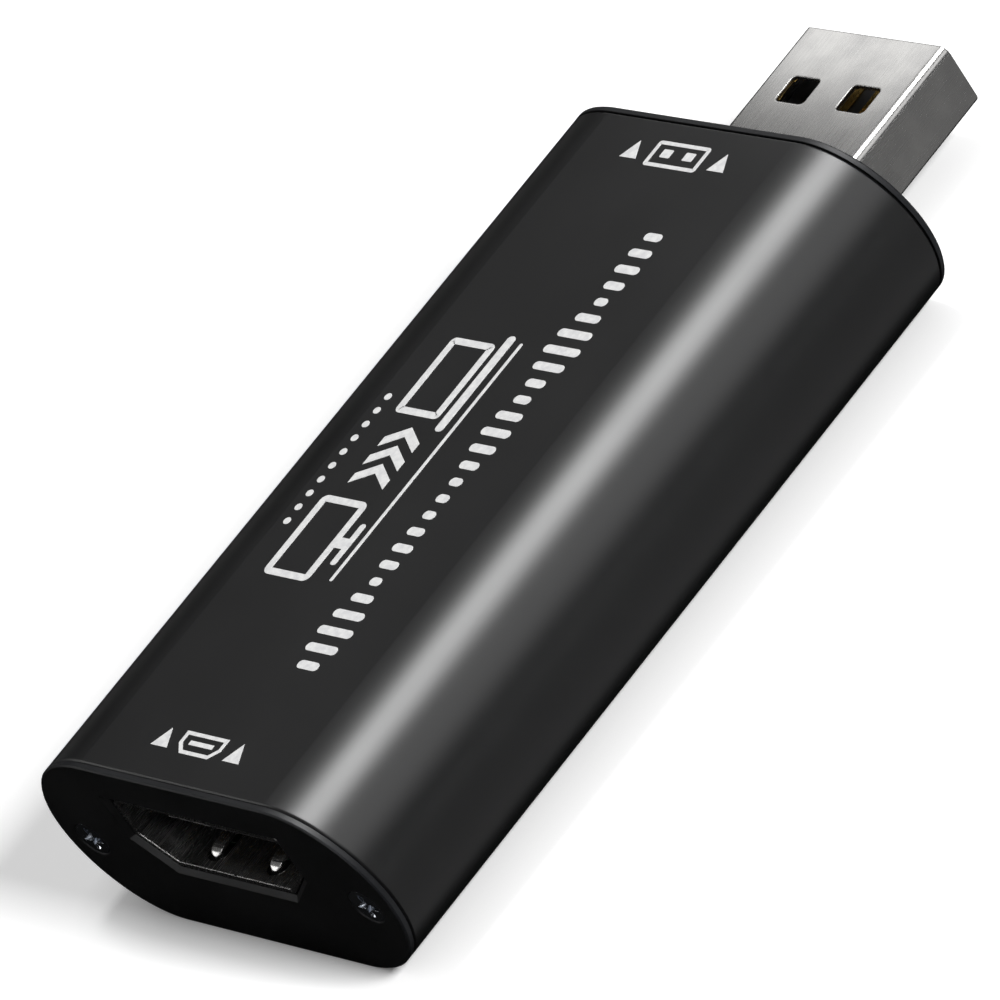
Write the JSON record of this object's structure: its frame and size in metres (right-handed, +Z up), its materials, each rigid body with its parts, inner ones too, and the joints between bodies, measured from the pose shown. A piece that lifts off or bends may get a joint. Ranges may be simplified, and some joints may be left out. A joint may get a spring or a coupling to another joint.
{
  "type": "video capture stick",
  "caption": "Flat stick-shaped video capture adapter: black metal sleeve with round sides, a screwed end plate around a video socket, and a fixed USB plug at the other end.",
  "frame": {"origin": "on the flat underside, below the middle of the whole length and width", "axes": "+Y from the socket end to the plug's tip, +Z up from the underside, +X across to the right as seen from the socket end"},
  "size_m": [0.0288, 0.0658, 0.013],
  "materials": {
    "anodised_sleeve": "black anodised, satin",
    "end_plate_plastic": "moulded, glossy black",
    "screw_steel": "zinc plated",
    "board_laminate": "green solder mask",
    "connector_nickel": "nickel plated sheet",
    "insulator_black": "moulded black",
    "contact_gold": "gold plated",
    "chip_compound": "moulded black compound",
    "tinned_lead": "tin plated",
    "crystal_ceramic": "dark fired ceramic",
    "crystal_can": "gold-flashed lid, satin",
    "capacitor_ceramic": "brown fired ceramic",
    "ferrite_ceramic": "dark grey fired ceramic",
    "print_ink": "screen printed white marks"
  },
  "bodies": {
    "root": {"sleeve": "anodised_sleeve", "input_end_plate": "end_plate_plastic", "output_end_plate": "end_plate_plastic", "input_plate_screws": "screw_steel", "output_plate_screws": "screw_steel", "circuit_board": "board_laminate", "socket_shell": "connector_nickel", "socket_insulator": "insulator_black", "socket_upper_contacts": "contact_gold", "socket_lower_contacts": "contact_gold", "plug_shell": "connector_nickel", "plug_insulator": "insulator_black", "plug_contacts": "contact_gold", "capture_chip": "chip_compound", "capture_chip_leads": "tinned_lead", "memory_chip": "chip_compound", "memory_chip_leads": "tinned_lead", "voltage_regulator": "chip_compound", "voltage_regulator_leads": "tinned_lead", "crystal_base": "crystal_ceramic", "crystal_lid": "crystal_can", "surge_arrays": "chip_compound", "capacitor_bodies": "capacitor_ceramic", "capacitor_terminals": "tinned_lead", "resistor_bodies": "chip_compound", "resistor_terminals": "tinned_lead", "ferrite_bodies": "ferrite_ceramic", "ferrite_terminals": "tinned_lead"}
  },
  "joints": []
}
